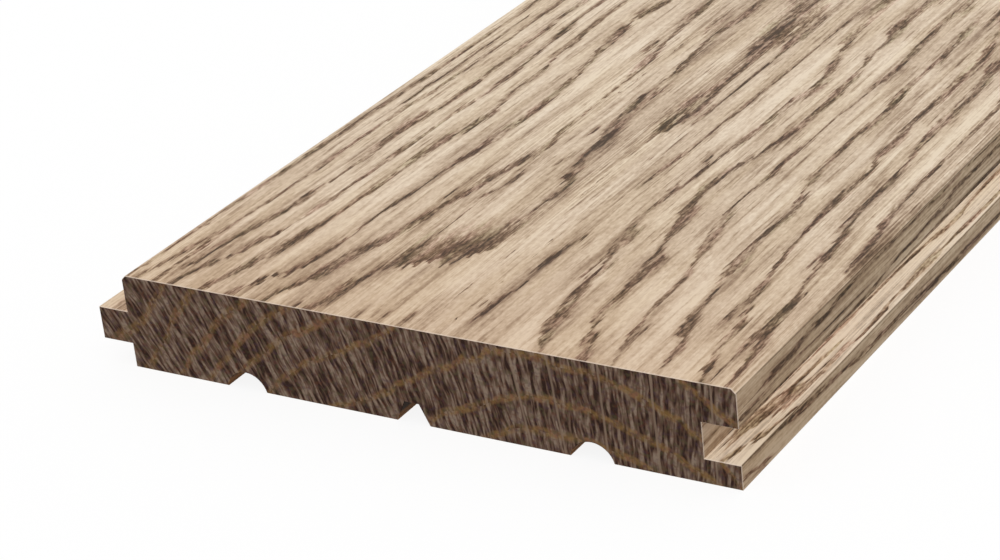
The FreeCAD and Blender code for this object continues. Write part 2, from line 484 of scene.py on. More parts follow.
# Growth rings of the rest. Their middle lies below the face, and its depth along the board makes the arches.
PITH_ACROSS = 65.4
PITH_DRIFT = 0.026  # how far the middle strays across for each millimetre along
PITH_FADE = (-8, 8)  # where the rings of the tongue's side pass into those of the groove's side
# The square of the middle's depth: (along, square)
PITH_DEPTH = [
    (0, 0), (28, 443), (50, 658), (105, 841), (150, 740), (190, 537), (260, 330), (350, 640), (450, 930),
    (540, 760), (650, 1100), (760, 1500), (860, 1250), (980, 1700), (1100, 1450), (1200, 1200),
]
# How many rings lie within a distance of the middle: (distance, rings)
RINGS_TONGUE_SIDE = [
    (0, 0), (22.5, 1), (31, 2), (38, 3), (45.2, 4), (51, 5), (56, 6), (61.7, 7), (70, 8), (85, 10),
    (100, 12), (140, 18),
]
RINGS_GROOVE_SIDE = [
    (0, 0), (22.5, 1), (33.3, 2), (42.3, 3), (50.1, 4), (58.4, 5), (66.2, 6), (72.8, 7), (80, 8),
    (100, 11), (140, 17),
]
RING_TILT = 330  # how fast the rings turn over the board's edges
RINGS_CROWD = (190, 500)  # where the rings come closer together, going along the board
RING_CROWDING = 0.35
YEAR_START = (0.0, 0.06)  # the shares of a year between which its pores open

# How lines of open pores fray. The fibres lie in columns, and a line steps from each column to the next.
COLUMN_WIDTH = 0.65
COLUMN_LEAN = 0.6  # how far the columns lean across for each millimetre up
COLUMN_STEP = 0.8  # how far a line steps, as a share of a column's width
LINE_SHIFT = 4  # how much further along a drawn line may lie in one column than in another
RING_SHIFT = 9  # and a growth ring
RING_FRAY = 1.6  # how much a growth ring frays, where a line of the face has 1
SIDE_FRAY = 0.3
LIP_FRAY = 0.4
SIDE_WIDENING = 0.75  # distances from a line count this much there, which widens it
LIP_WIDENING = 0.85
SHARP_SIDE = 1.6  # a line is sharp on one side and soft on the other
SOFT_SIDE = 0.58
LINE_EDGE = (0.55, 1.4)  # where a line's pores close, in half widths from its middle
NEAR_LINE = (0.8, 5.0)  # over which the wood by a line is a little darker
FACE_FADE = (THICKNESS - 1.6, THICKNESS - 1.1)  # the heights between which the face's lines fade in
EDGE_LINE = 0.18  # half the width of the thin lines of painted shade along the groove side's edges

# How much paler the wood is: (across, change of tone)
PALE_ZONES = [
    (-8, -0.05), (-0.5, -0.05), (0, 0.09), (22, 0.07), (36, 0.02), (60, 0), (90, 0.01), (110, 0.05),
    (128, 0.04), (140, 0.02),
]
# How strong the hairlines are: (across, strength)
HAIRLINE_ZONES = [
    (-10, 1.3), (-1, 1.3), (4, 0.9), (12, 0.35), (40, 0.25), (48, 0.9), (56, 0.4), (63, 0.4), (68, 1.1),
    (74, 0.6), (84, 0.4), (110, 0.25), (124, 0.6), (136, 0.6), (138, 1.1), (150, 1.1),
]


def nearest_line(lines, across, along):
    """How far a place is from the nearest of these lines, in half widths of that line."""
    share = along / DRAWN_LENGTH
    place_across = across / COVER_WIDTH
    nearest = None
    for line in lines:
        stations = [point[0] / DRAWN_LENGTH for point in line]
        middle = share.share_curve([(at, point[1] / COVER_WIDTH) for at, point in zip(stations, line)])
        half_width = share.share_curve([(at, point[2] / COVER_WIDTH) for at, point in zip(stations, line)])
        # A line is sharp on the side that it leans to as it goes along, and fades on the other side.
        lean = 1 if line[-1][1] > line[0][1] else -1
        offset = (place_across - middle) / half_width * lean
        distance = (offset * SHARP_SIDE).math("MAXIMUM", offset * -SOFT_SIDE)
        nearest = nearest.math("MINIMUM", distance) if nearest else distance
    return nearest


def nearest_mark(across, along):
    """How far a place is from the nearest single mark, in half widths of that mark."""
    nearest = None
    for start_across, start_along, end_across, end_along, half_width, strength in MARKS:
        run = Vector((end_across - start_across, end_along - start_along))
        way = run.normalized()
        middle = Vector((start_across + end_across, start_along + end_along)) / 2
        directions = [way / (run.length / 2 + half_width), Vector((way.y, -way.x)) / half_width]
        distance = mark_distance(across, along, middle, directions) + (1 - strength)
        nearest = nearest.math("MINIMUM", distance) if nearest else distance
    return nearest


def mark_distance(across, along, middle, directions):
    """The distance from a mark's middle, measured with the mark's two directions."""
    squared = 0
    for direction in directions:
        onward = along.math("MULTIPLY_ADD", direction.y, -direction.dot(middle))
        onward = across.math("MULTIPLY_ADD", direction.x, onward)
        squared = onward.math("MULTIPLY_ADD", onward, squared)
    return squared.math("SQRT")


def arch_pores(across, along):
    """How open the arch's pores are: it starts sharply at its lower edge and fades out along the board."""
    from_edge = along - across.curve(ARCH_EDGE)
    sides = [point[0] for point in ARCH_EDGE]
    inside = across.rise(*sides[:2]) * (1 - across.rise(*sides[-2:]))
    return from_edge.rise(0, ARCH_RISE) * (1 - from_edge.rise(*ARCH_FADE)) * inside


def ring_pores(point, frayed, ragged):
    """How open the pores are by the growth rings, which start sharply, and how near a ring is."""
    across, along, up = split(point)
    station = along + ragged * RING_SHIFT + sway(point, grain(5, 80), seed=2, reach=22)
    offset = across - PITH_ACROSS + station * PITH_DRIFT + sway(point, grain(16, 40), seed=3, reach=5)
    offset = offset + frayed * RING_FRAY
    depth = station.curve(PITH_DEPTH) + (THICKNESS - up) * RING_TILT
    radius = (offset * offset + depth).math("SQRT")
    rings = [radius.curve(points) for points in (RINGS_TONGUE_SIDE, RINGS_GROOVE_SIDE)]
    year = blend(offset.rise(*PITH_FADE), *rings)
    season = (year * (along.rise(*RINGS_CROWD) * RING_CROWDING + 1)).math("FRACT")
    reach = blend(spots(point, grain(5, 24), seed=4, edge=(0.3, 0.7), detail=2.0), 0.1, 0.34)
    # A ring's pores open sharply as its year starts, and close over a reach that varies.
    early = season.rise(*YEAR_START) * (1 - season.rise(reach * 0.7, reach * 1.5 + 0.08))
    patches = blend(spots(point, grain(2.2, 15), seed=5, edge=(0.32, 0.52), detail=2.0), 0.45, 1.0)
    near = ((season - 0.5).math("ABSOLUTE") * 2).rise(0.2, 0.9)
    return early * patches, near


def groove_side(across, up):
    """Whether a place is on the groove's side, and whether it is on top of the lower lip, each 0 or 1."""
    on_side = across.math("GREATER_THAN", COVER_WIDTH - ARRIS) * up.math("LESS_THAN", THICKNESS - EDGE_BEVEL)
    on_lip = across.math("GREATER_THAN", COVER_WIDTH - GROOVE_DEPTH) * up.math("COMPARE", GROOVE_FLOOR, ARRIS)
    return on_side, on_lip * (1 - on_side)


def groove_edges(point):
    """Whether a place is on the groove side's bevel, and how near it is to the thin lines of painted shade
    along that side's edges.
    """
    across, along, up = split(point)
    outermost = across.math("GREATER_THAN", COVER_WIDTH - EDGE_LINE)
    past_face = across.math("GREATER_THAN", COVER_WIDTH - EDGE_BEVEL)
    on_bevel = past_face * up.math("GREATER_THAN", THICKNESS - EDGE_BEVEL)
    lines = 0
    # Painted shade along the side's edge under the bevel and along the lip's outer edge, broken into spots.
    for height in (THICKNESS - EDGE_BEVEL, GROOVE_FLOOR - ARRIS):
        from_edge = (up - height).math("ABSOLUTE")
        lines = lines + (1 - from_edge.rise(EDGE_LINE / 4, EDGE_LINE))
    shown = spots(point, grain(3, 22), seed=43, edge=(0.3, 0.55), detail=2.0)
    return on_bevel, lines * outermost * shown


def open_pores(point):
    """How open the wood's pores are, 0 to 1, and how near a growth line is."""
    across, along, up = split(point)
    columns = (across + up * COLUMN_LEAN) / COLUMN_WIDTH + sway(point, grain(4, 60), seed=1, reach=1.5)
    column = columns.math("FLOOR")
    step = (column + 0.5 - columns) * COLUMN_WIDTH * COLUMN_STEP
    frayed = step + sway(point, grain(1.5, 12), seed=12, reach=1.2)
    frayed = frayed + sway(point, grain(0.6, 5), seed=15, reach=0.6)
    ragged = white(column) - 0.5
    frayed_across = across + frayed
    frayed_along = along + ragged * LINE_SHIFT
    distance = nearest_line(GROWTH_LINES, frayed_across, frayed_along)
    distance = distance.math("MINIMUM", nearest_mark(frayed_across, frayed_along))
    on_side, on_lip = groove_side(across, up)
    from_line = nearest_line(SIDE_LINES, up + frayed * SIDE_FRAY, frayed_along) * SIDE_WIDENING
    distance = blend(on_side, distance, from_line)
    from_line = nearest_line(LIP_LINES, across + frayed * LIP_FRAY, frayed_along) * LIP_WIDENING
    distance = blend(on_lip, distance, from_line)
    broken = blend(spots(point, grain(1.2, 7), seed=20, edge=(0.35, 0.50), detail=2.0), 0.45, 1.0)
    drawn = (1 - distance.rise(*LINE_EDGE)) * broken
    on_face = up.rise(*FACE_FADE)
    drawn = drawn.math("MAXIMUM", arch_pores(frayed_across, frayed_along) * on_face)
    near = 1 - distance.rise(*NEAR_LINE)
    rings, near_rings = ring_pores(point, frayed, ragged)
    as_drawn = (on_face + on_side + on_lip).math("MINIMUM", 1.0) * (1 - along.rise(*DRAWN_FADE))
    return blend(as_drawn, rings, drawn), blend(as_drawn, near_rings, near)


# Colours of oak along its grain, from the palest wood to the darkest pores: (tone, colour)
LONG_GRAIN_TONES = [
    (0.0, srgb(231, 214, 192)),
    (0.22, srgb(208, 187, 163)),
    (0.45, srgb(172, 149, 126)),
    (0.70, srgb(126, 103, 84)),
    (1.0, srgb(80, 66, 55)),
]
WOOD_TONE = 0.165  # the tone of plain wood, and how much darker it gets by a line and in its pores
NEAR_LINE_TONE = 0.14
PORE_TONE = 0.32
DARK_PORE_TONE = 0.24
# Shades in patches of the open pores: seed, the patches' edges in their noise, and (share, colour)
PORE_SHADES = [
    (46, (0.46, 0.62), (1, srgb(255, 248, 252))),
    (47, (0.50, 0.66), (1, srgb(247, 252, 245))),
]
# Other shades of the long grain, some of them painted light and shade: (share, colour), and how far from the
# ends two of them fade
SIDE_SHADE = (1, srgb(241, 235, 225))  # on the groove's side
YELLOW_SHADE = (0.25, srgb(250, 248, 235))  # in long stripes
# Painted light on top of the groove's lower lip, which the upper lip shades
LIP_PAINTED_LIGHT = (0.22, srgb(250, 245, 230))
EDGE_PAINTED_SHADE = (0.7, srgb(92, 76, 58))  # painted shade in thin lines along the groove side's edges
END_SHADE = (1, srgb(238, 226, 216))  # towards the board's ends
END_SHADE_FADE = (-60, 100)
PAINTED_END_HIGHLIGHT = (0.6, srgb(228, 210, 194))  # a painted highlight round the edges of the sawn ends
PAINTED_END_HIGHLIGHT_FADE = (0.1, 0.35)
LONG_GRAIN_ROUGHNESS = (0.55, 0.70)  # of pale wood, and of dark pores
LONG_GRAIN_RELIEF = 0.03


def pale_wood(point):
    """Tone of the wood between the pores: wide stripes, fainter ones, dashes, clouds and a mottle."""
    across, along, up = split(point)
    stripes = sway(point, grain(4, 90), seed=9, reach=0.65, detail=2.0)
    stripes = stripes + sway(point, grain(1.4, 35), seed=14, reach=0.35)
    faint = spots(point, grain(1.4, 24), seed=11, edge=(0.52, 0.72), detail=2.0) * 0.2
    dashes = spots(point, grain(0.6, 11), seed=26, edge=(0.58, 0.72)) * blend(along.rise(10, 80), 0.06, 0.24)
    clouds = sway(point, grain(18, 50), seed=10, reach=0.3, detail=2.0)
    mottle = sway(point, grain(0.8, 1.4), seed=19, reach=0.34, detail=2.0)
    paler = across.curve(PALE_ZONES) + along.rise(70, 150) * 0.04
    return stripes + faint + dashes + clouds + mottle - paler


def hairlines(point):
    """Hairlines along the grain, stronger in some zones and further along the board."""
    across, along, up = split(point)
    strength = across.curve(HAIRLINE_ZONES) * blend(along.rise(20, 90), 0.9, 1.3)
    return sway(point, grain(0.4, 30), seed=8, reach=0.6) * strength


def groove_tone(point, on_bevel, on_lip):
    """Change of tone on the groove's side: a lined bevel darkened as painted shade, and a lined lip paled as
    painted light.
    """
    # Painted shade: the bevel's fine lines, with its tone darkened by 0.12.
    bevel = sway(point, grain(0.16, 40), seed=44, reach=0.9) + 0.12
    # The lip's stripes, with its tone lifted by 0.13 as painted light against the groove's shade.
    lip = sway(point, grain(0.5, 32), seed=45, reach=1.0, detail=2.0) - 0.13
    return on_bevel * bevel + on_lip * lip


def pore_shades(colour, point, pores):
    """The colour with the shades of the open pores."""
    opened = pores.rise(0.1, 0.6)
    for seed, edge, shade in PORE_SHADES:
        patches = spots(point, grain(2.5, 12), seed, edge)
        colour = tint(colour, patches * opened, shade, "MULTIPLY")
    return colour


def oak_along_grain():
    """Brushed oak seen along its grain: pale wood, fine fibres and dark open pores along the growth lines."""
    material, shader, point = new_material("oak_long_grain")
    across, along, up = split(point)
    pores, near = open_pores(point)
    on_side, on_lip = groove_side(across, up)
    on_bevel, shaded_edge_lines = groove_edges(point)
    from_end = along.math("MINIMUM", LENGTH - along)
    fibres = sway(point, grain(0.7, 3), seed=6, reach=1.2, detail=2.0)
    patches = sway(point, grain(2.5, 14), seed=18, reach=2.0)
    dark = (pores + fibres + patches).rise(0.6, 1.3) * pores.rise(0.2, 0.6)
    hair = hairlines(point)
    fine = sway(point, grain(0.4, 1.6), seed=16, reach=1.0) * blend(pores, 0.25, 1.0)
    tone = pale_wood(point) + hair + fine + groove_tone(point, on_bevel, on_lip)
    tone = tone + near * NEAR_LINE_TONE + pores * PORE_TONE + dark * DARK_PORE_TONE + WOOD_TONE
    colour = pore_shades(ramp(tone, LONG_GRAIN_TONES), point, pores)
    colour = tint(colour, 1 - from_end.rise(*END_SHADE_FADE), END_SHADE, "MULTIPLY")
    colour = tint(colour, on_side, SIDE_SHADE, "MULTIPLY")
    # Painted light on the lip's top, paler where its pores are closed.
    colour = tint(colour, on_lip * (1 - pores.rise(0.0, 0.5)), LIP_PAINTED_LIGHT)
    # Painted shade along the groove side's edges.
    colour = tint(colour, shaded_edge_lines, EDGE_PAINTED_SHADE)
    yellow = spots(point, grain(5, 50), seed=17, edge=(0.42, 0.62), detail=2.0)
    colour = tint(colour, yellow, YELLOW_SHADE, "MULTIPLY")
    # Painted highlight in a thin pale line round the sawn ends' edges.
    colour = tint(colour, 1 - from_end.rise(*PAINTED_END_HIGHLIGHT_FADE), PAINTED_END_HIGHLIGHT)
    roughness = blend(dark, *LONG_GRAIN_ROUGHNESS)
    finish_wood(shader, colour, roughness, fine * 2 + fibres + hair, LONG_GRAIN_RELIEF)
    return material


# Growth rings as the sawn ends show them: each through places of (across, up), from the outermost inwards
END_RINGS = [
    [(-9, -2), (-4.5, 5.6), (-0.5, 8.2), (2.7, 10.4), (5.5, 13.3), (7.3, 15.8), (9.8, 19), (12, 23)],
    [(1.5, -2), (3.4, 0.8), (6.2, 4), (8.8, 7.6), (10.5, 10.4), (11.6, 12.9), (13.4, 15.1), (14.8, 16.5),
     (16.6, 18.6), (20, 23)],
    [(10, -2), (12.7, 1.1), (14.8, 4.7), (18.4, 8.3), (20.5, 10.8), (22.3, 13.3), (24.8, 15.8), (27.7, 17.6),
     (29.8, 19.4), (34, 23)],
    [(17, -2), (19.1, 0.8), (23.8, 6.1), (25.9, 8.3), (28.4, 11.1), (30.2, 12.9), (32.3, 14.7), (35.2, 16.9),
     (37.7, 18.6), (39.8, 19.7), (45, 23)],
    [(22, -2), (28.4, 4.7), (30.9, 6.9), (33.8, 9), (35.9, 10.8), (38, 12.6), (40.5, 14.4), (44.8, 16.1),
     (47, 17.6), (49.1, 18.8), (50.5, 19.7), (56, 23)],
    [(32, -2), (34.5, 1.1), (38.4, 4.7), (41.6, 6.9), (44.2, 9), (47.3, 10.4), (50.9, 12), (53.4, 12.9),
     (56.2, 14.7), (58.8, 15.6), (62, 17.6), (63.8, 18.6), (65.2, 19.7), (72, 23), (122, 23),
     (130.5, 19.5), (132.5, 18.1), (135.7, 15.8), (137.9, 14.4), (142, 11.5)],
    [(46, -2), (52, 1.1), (54.8, 2), (57.3, 3.1), (61.6, 5.4), (63.4, 6.1), (65.9, 8.3), (67.7, 9),
     (70.5, 10.4), (72.3, 11.7), (74.5, 13.1), (77.3, 13.8), (79.8, 15.1), (81.6, 16.7), (84.8, 17),
     (86.2, 18.1), (87.7, 19.4), (94.3, 19.9), (97.1, 20), (102.9, 18.8), (108.9, 18.6), (113.9, 17.6),
     (118.6, 16.1), (122.1, 14.7), (125, 13.1), (128.2, 12.2), (130, 10.4), (132.1, 9.4), (136, 5),
     (141, -1)],
    [(69, -2), (73, 1.9), (75.2, 3.6), (78, 4.7), (81.3, 5.8), (84.1, 6.9), (87, 8.3), (90, 9.6),
     (92.9, 10.4), (96.4, 11.3), (99.6, 11.3), (103.6, 10.8), (106.4, 10.8), (109.3, 10.1), (112.9, 9.2),
     (115.4, 8.5), (117.9, 7.6), (120.7, 6.9), (126.4, 4.7), (129.3, 2.9), (131.8, 1.9), (138, -2)],
    [(82, -2), (86.2, 0.8), (88.6, 1.8), (90.9, 3.1), (93.4, 3.9), (99.3, 4), (105, 4), (112, 3.2),
     (115.7, 2.2), (120, 0.8), (126, -2)],
]
END_RING_FADE = (0.4, 1.2)  # how far from its middle a ring fades out
RING_SPACING = 4.1  # how far apart the fibres of two rings lie in their noise
ALONG_SPACING = 0.01  # and those of two sections a millimetre apart, so that the two ends differ

# Fibres of the sawn ends run nearly straight up, and spread from a point far below the board
FIBRES_FROM_ACROSS = 118
FIBRES_FROM_UP = -180
# Long rays of the sawn ends: their place across at the face and at the underside
LONG_RAYS = [(92, 95.2), (100.4, 102.7), (111.4, 112), (122.5, 122.9), (134.8, 134.8)]
LONG_RAY_FADE = (0.1, 0.35)  # how far from its middle a ray fades out

# Colours of the sawn ends, from the darkest fibres to the palest: (tone, colour)
END_GRAIN_TONES = [
    (0.0, srgb(58, 39, 32)),
    (0.30, srgb(96, 72, 59)),
    (0.60, srgb(128, 103, 87)),
    (1.0, srgb(162, 140, 122)),
]
END_TONE = 0.44  # the middle of the tones, and how much paler a ring is
RING_TONE = 0.12
# Shades of the sawn ends: (share, colour)
RING_GOLD = (1, srgb(154, 119, 70))
GOLD_STRENGTH = (0.52, 0.72)  # of the gold by the tongue, and by the groove
GOLD_GROWS = (20, 90)  # the places across between which it grows
RING_ROSE = (0.6, srgb(152, 104, 84))  # in spots of the rings
LONG_RAY_PALE = (0.7, srgb(162, 138, 118))
# Coloured spots of the sawn ends: size, seed, the spots' edges in their noise, and (share, colour)
END_SPOTS = [
    (1.1, 31, (0.50, 0.72), (0.5, srgb(88, 66, 74))),
    (1.1, 32, (0.50, 0.72), (0.5, srgb(98, 90, 62))),
    (0.9, 33, (0.54, 0.72), (0.4, srgb(110, 66, 48))),
]
SAWN_ROUGHNESS = (0.65, 0.85)
SAWN_RELIEF = 0.05


def end_rings(across, up):
    """How near a place of a sawn end is to a growth ring, 0 to 1, and how many rings it lies above."""
    ring = 0
    year = 0
    for points in END_RINGS:
        over = up - across.curve(points)
        slope = (points[-1][1] - points[0][1]) / (points[-1][0] - points[0][0])
        distance = over.math("ABSOLUTE") / math.hypot(1, slope)
        ring = (1 - distance.rise(*END_RING_FADE)).math("MAXIMUM", ring)
        year = over.math("GREATER_THAN", 0) + year
    return ring, year


def end_fibres(point, year):
    """Tone of a sawn end's wavy fibres, which start anew in each year's wood."""
    across, along, up = split(point)
    curl = sway(point, even(5), seed=28, reach=1.2)
    height = up - FIBRES_FROM_UP
    angle = (across + curl - FIBRES_FROM_ACROSS).math("ARCTAN2", height) * -FIBRES_FROM_UP
    polar = vector(angle, height, year * RING_SPACING + along * ALONG_SPACING)
    return sway(polar, (0.68, 4.5, 1), seed=23, reach=3.2) + sway(polar, (0.4, 1.8, 1), seed=24, reach=0.7)


def long_rays(point):
    """How near a place of a sawn end is to a long ray, 0 to 1."""
    across, along, up = split(point)
    wavy = across + sway(point, even(3), seed=29, reach=0.3)
    rays = 0
    for top, bottom in LONG_RAYS:
        from_ray = (wavy - blend(up / THICKNESS, bottom, top)).math("ABSOLUTE")
        rays = (1 - from_ray.rise(*LONG_RAY_FADE)).math("MAXIMUM", rays)
    return rays


def oak_end_grain():
    """Sawn oak end: muted golden rings of early wood, crossed by dark and pale fibres and a few long rays."""
    material, shader, point = new_material("oak_end_grain")
    across, along, up = split(point)
    ring, year = end_rings(across, up + sway(point, even(3), seed=21, reach=1.2, detail=2.0))
    ring = ring * blend(spots(point, even(1.8), seed=22, edge=(0.34, 0.60), detail=2.0), 0.2, 1.0)
    blotch = sway(point, even(5), seed=25, reach=0.6, detail=2.0)
    tone = end_fibres(point, year) + blotch + ring * RING_TONE + END_TONE
    colour = ramp(tone, END_GRAIN_TONES)
    colour = tint(colour, ring * blend(across.rise(*GOLD_GROWS), *GOLD_STRENGTH), RING_GOLD)
    colour = tint(colour, ring * spots(point, even(1.3), seed=34, edge=(0.48, 0.68)), RING_ROSE)
    for size, seed, edge, shade in END_SPOTS:
        colour = tint(colour, spots(point, even(size), seed, edge), shade)
    colour = tint(colour, long_rays(point), LONG_RAY_PALE)
    roughness = blend(noise(point, even(2), seed=27), *SAWN_ROUGHNESS)
    finish_wood(shader, colour, roughness, tone, SAWN_RELIEF)
    return material


# Colours of the milled channels, darker than the face partly as bare cut oak and partly as painted shade:
# (tone, colour), and the painted shade under their roofs: (share, colour)
CHANNEL_TONES = [(0.35, srgb(84, 54, 30)), (0.65, srgb(182, 126, 74))]
CHANNEL_PAINTED_SHADE = (0.95, srgb(26, 17, 11))
CHANNEL_SHADE_HEIGHTS = (1.0, 2.6)  # the heights between which the painted shade grows
CHANNEL_ROUGHNESS = (0.6, 0.8)


def oak_channel():
    """The milled channels: bare oak with faint lines along the cut, and painted shade that darkens them
    towards the roof.
    """
    material, shader, point = new_material("oak_channel")
    up = split(point)[2]
    lines = noise(point, grain(0.6, 60), seed=41, detail=2.0)
    lines = blend(0.4, lines, noise(point, grain(0.4, 6), seed=42, detail=2.0))
    # Painted shade: the walls darken with height towards the channel's roof.
    colour = tint(ramp(lines, CHANNEL_TONES), up.rise(*CHANNEL_SHADE_HEIGHTS), CHANNEL_PAINTED_SHADE)
    roughness = blend(lines, *CHANNEL_ROUGHNESS)
    finish_wood(shader, colour, roughness, lines, SAWN_RELIEF)
    return material


def round_channel(middle):
    """Points (across, up) of a round channel from mouth to mouth."""
    half_width = ROUND_CHANNEL_WIDTH / 2
    depth = ROUND_CHANNEL_DEPTH
    steps = ROUND_CHANNEL_STEPS
    radius = (half_width ** 2 + depth ** 2) / (2 * depth)
    half_turn = 2 * math.atan2(depth, half_width)
    turns = [half_turn * (2 * step / steps - 1) for step in range(steps + 1)]
    return [(middle + radius * math.sin(turn), depth - radius + radius * math.cos(turn)) for turn in turns]


def face_points():
    """Points (across, up) over the face, from the groove's side to the tongue's."""
    span = COVER_WIDTH - 2 * EDGE_BEVEL
    count = round(span / FACE_STEP)
    return [(COVER_WIDTH - EDGE_BEVEL - span * number / count, THICKNESS) for number in range(count + 1)]


def section():
    """Points (across, up) round the board's section, from the tongue side's lower corner."""
    half_mouth = TAPERED_CHANNEL_WIDTH / 2
    half_roof = TAPERED_CHANNEL_ROOF / 2
    return [
        (0, 0),
        *round_channel(FIRST_CHANNEL),
        (MIDDLE_CHANNEL - half_mouth, 0),
        (MIDDLE_CHANNEL - half_roof, TAPERED_CHANNEL_DEPTH),
        (MIDDLE_CHANNEL + half_roof, TAPERED_CHANNEL_DEPTH),
        (MIDDLE_CHANNEL + half_mouth, 0),
        *round_channel(LAST_CHANNEL),
        (COVER_WIDTH, 0),
        (COVER_WIDTH, GROOVE_FLOOR),
        (COVER_WIDTH - GROOVE_DEPTH, GROOVE_FLOOR),
        (COVER_WIDTH - GROOVE_DEPTH, GROOVE_ROOF),
        (COVER_WIDTH, GROOVE_ROOF),
        (COVER_WIDTH, THICKNESS - EDGE_BEVEL),
        *face_points(),
        (0, THICKNESS - EDGE_BEVEL),
        (0, TONGUE_TOP),
        (-TONGUE_LENGTH, TONGUE_TOP),
        (-TONGUE_LENGTH, TONGUE_UNDERSIDE),
        (0, TONGUE_UNDERSIDE),
    ]


def corners(outline):
    """Each point of a closed outline, with the directions to it and on from it."""
    points = [Vector(point) for point in outline]
    for before, corner, after in zip(points[-1:] + points[:-1], points, points[1:] + points[:1]):
        yield corner, (corner - before).normalized(), (after - corner).normalized()


def eased(outline):
    """The outline with a small flat cut across each sharp outward corner."""
    points = []
    for corner, coming, leaving in corners(outline):
        left_turn = -coming.angle_signed(leaving)
        if left_turn > SHARP_EDGE:
            points += [corner - coming * ARRIS, corner + leaving * ARRIS]
        else:
            points.append(corner)
    return points


def inset(outline, depth):
    """The outline moved inwards by depth."""
    points = []
    for corner, coming, leaving in corners(outline):
        inward = [Vector((-way.y, way.x)) for way in (coming, leaving)]
        points.append(corner + (inward[0] + inward[1]) * depth / (1 + inward[0].dot(inward[1])))
    return points


def stations():
    """Places along the board where the mesh has a ring of points, apart from the two ends."""
    near = range(NEAR_STEP, NEAR_LENGTH, NEAR_STEP)
    far = range(NEAR_LENGTH, round(LENGTH), FAR_STEP)
    return [ARRIS, *near, *far, LENGTH - ARRIS]


def places_in_map(outline):
    """Where each point of the outline lies across the baked map, and the first again."""
    sums = [0.0]
    for start, end in zip(outline, outline[1:] + outline[:1]):
        on_face = min(start.y, end.y) >= THICKNESS
        sums.append(sums[-1] + (end - start).length * (MAP_FACE_WEIGHT if on_face else 1.0))
    return [MAP_MARGIN + (1 - 2 * MAP_MARGIN) * place_sum / sums[-1] for place_sum in sums]


def end_in_map(point, number):
    """Where a point of an end lies in the baked map."""
    width = COVER_WIDTH + TONGUE_LENGTH
    low = MAP_LONG_FACES + MAP_MARGIN * 2 + number * (MAP_END_HEIGHT + MAP_MARGIN)
    map_across = MAP_MARGIN + (point.x + TONGUE_LENGTH) / width * MAP_END_WIDTH
    return map_across, low + point.y / THICKNESS * MAP_END_HEIGHT


def in_channel(start, end):
    """Whether an edge of the outline is a channel's wall or roof."""
    middle = (start + end) / 2
    over_underside = SAME_HEIGHT < middle.y <= TAPERED_CHANNEL_DEPTH
    by_channels = FIRST_CHANNEL - ROUND_CHANNEL_WIDTH < middle.x < LAST_CHANNEL + ROUND_CHANNEL_WIDTH
    return over_underside and by_channels


def end_cells(outline, count):
    """The two sawn ends of a mesh with count points, as (corners, their map, slot, smooth)."""
    size = len(outline)
    yield list(range(size)), [end_in_map(point, 0) for point in outline], END_GRAIN, False
    far = list(range(count - size, count))
    yield far[::-1], [end_in_map(point, 1) for point in outline[::-1]], END_GRAIN, False


def side_cells(outline, along):
    """The cells between the ends, in rows along the board, as (corners, their map, slot, smooth)."""
    size = len(outline)
    map_across = places_in_map(outline)
    map_along = [MAP_MARGIN + station / LENGTH * (MAP_LONG_FACES - MAP_MARGIN) for station in along]
    last = len(along) - 2
    for edge in range(size):
        following = (edge + 1) % size
        slot = CHANNEL if in_channel(outline[edge], outline[following]) else LONG_GRAIN
        on_face = min(outline[edge].y, outline[following].y) >= THICKNESS
        for ring in range(last + 1):
            here = ring * size
            there = here + size
            cell = [here + edge, there + edge, there + following, here + following]
            turns = ((edge, ring), (edge, ring + 1), (edge + 1, ring + 1), (edge + 1, ring))
            cell_map = [(map_across[side], map_along[station]) for side, station in turns]
            yield cell, cell_map, slot, on_face and 0 < ring < last


def board_mesh():
    """The board as a closed mesh with eased edges, fine cells over its face and a map for baked colours."""
    outline = eased(section())
    small = inset(outline, ARRIS)
    along = [0, *stations(), LENGTH]
    rings = [small] + [outline] * len(stations()) + [small]
    points = [place(point.x, station, point.y) for station, ring in zip(along, rings) for point in ring]
    cells = [*end_cells(small, len(points)), *side_cells(outline, along)]
    faces, maps, slots, smooth = zip(*cells)
    mesh = bpy.data.meshes.new("oak_board")
    mesh.from_pydata(points, [], faces)
    mesh.polygons.foreach_set("material_index", slots)
    mesh.polygons.foreach_set("use_smooth", smooth)
    layer = mesh.uv_layers.new(name=MAP_NAME)
    layer.data.foreach_set("uv", [number for cell_map in maps for spot in cell_map for number in spot])
    return mesh


def brush_face(board):
    """Sinks the open pores of the face into the mesh, as a wire brush leaves them."""
    tree = bpy.data.node_groups.new("brushed_face", "GeometryNodeTree")
    for way in ("INPUT", "OUTPUT"):
        tree.interface.new_socket("Geometry", in_out=way, socket_type="NodeSocketGeometry")
    start = tree.nodes.new("NodeGroupInput")
    end = tree.nodes.new("NodeGroupOutput")
    position = tree.nodes.new("GeometryNodeInputPosition")
    point = on_board(position.outputs[0])
    across, along, up = split(point)
    pores = open_pores(point)[0]
    from_side = across.math("MINIMUM", COVER_WIDTH - across)
    from_end = along.math("MINIMUM", LENGTH - along)
    on_face = up.math("GREATER_THAN", THICKNESS - ARRIS / 2)
    inside = on_face * from_side.rise(*BRUSHED_FROM_SIDE) * from_end.rise(*BRUSHED_FROM_END)
    sink = tree.nodes.new("GeometryNodeSetPosition")
    tree.links.new(vector(0, 0, pores * inside * -PORE_DEPTH * MM), sink.inputs["Offset"])
    tree.links.new(start.outputs[0], sink.inputs["Geometry"])
    tree.links.new(sink.outputs[0], end.inputs[0])
    brush = board.modifiers.new("brushed_face", "NODES")
    brush.node_group = tree
    board_brushed = board.evaluated_get(bpy.context.evaluated_depsgraph_get())
    mesh = bpy.data.meshes.new_from_object(board_brushed)
    board.modifiers.clear()
    board.data = mesh


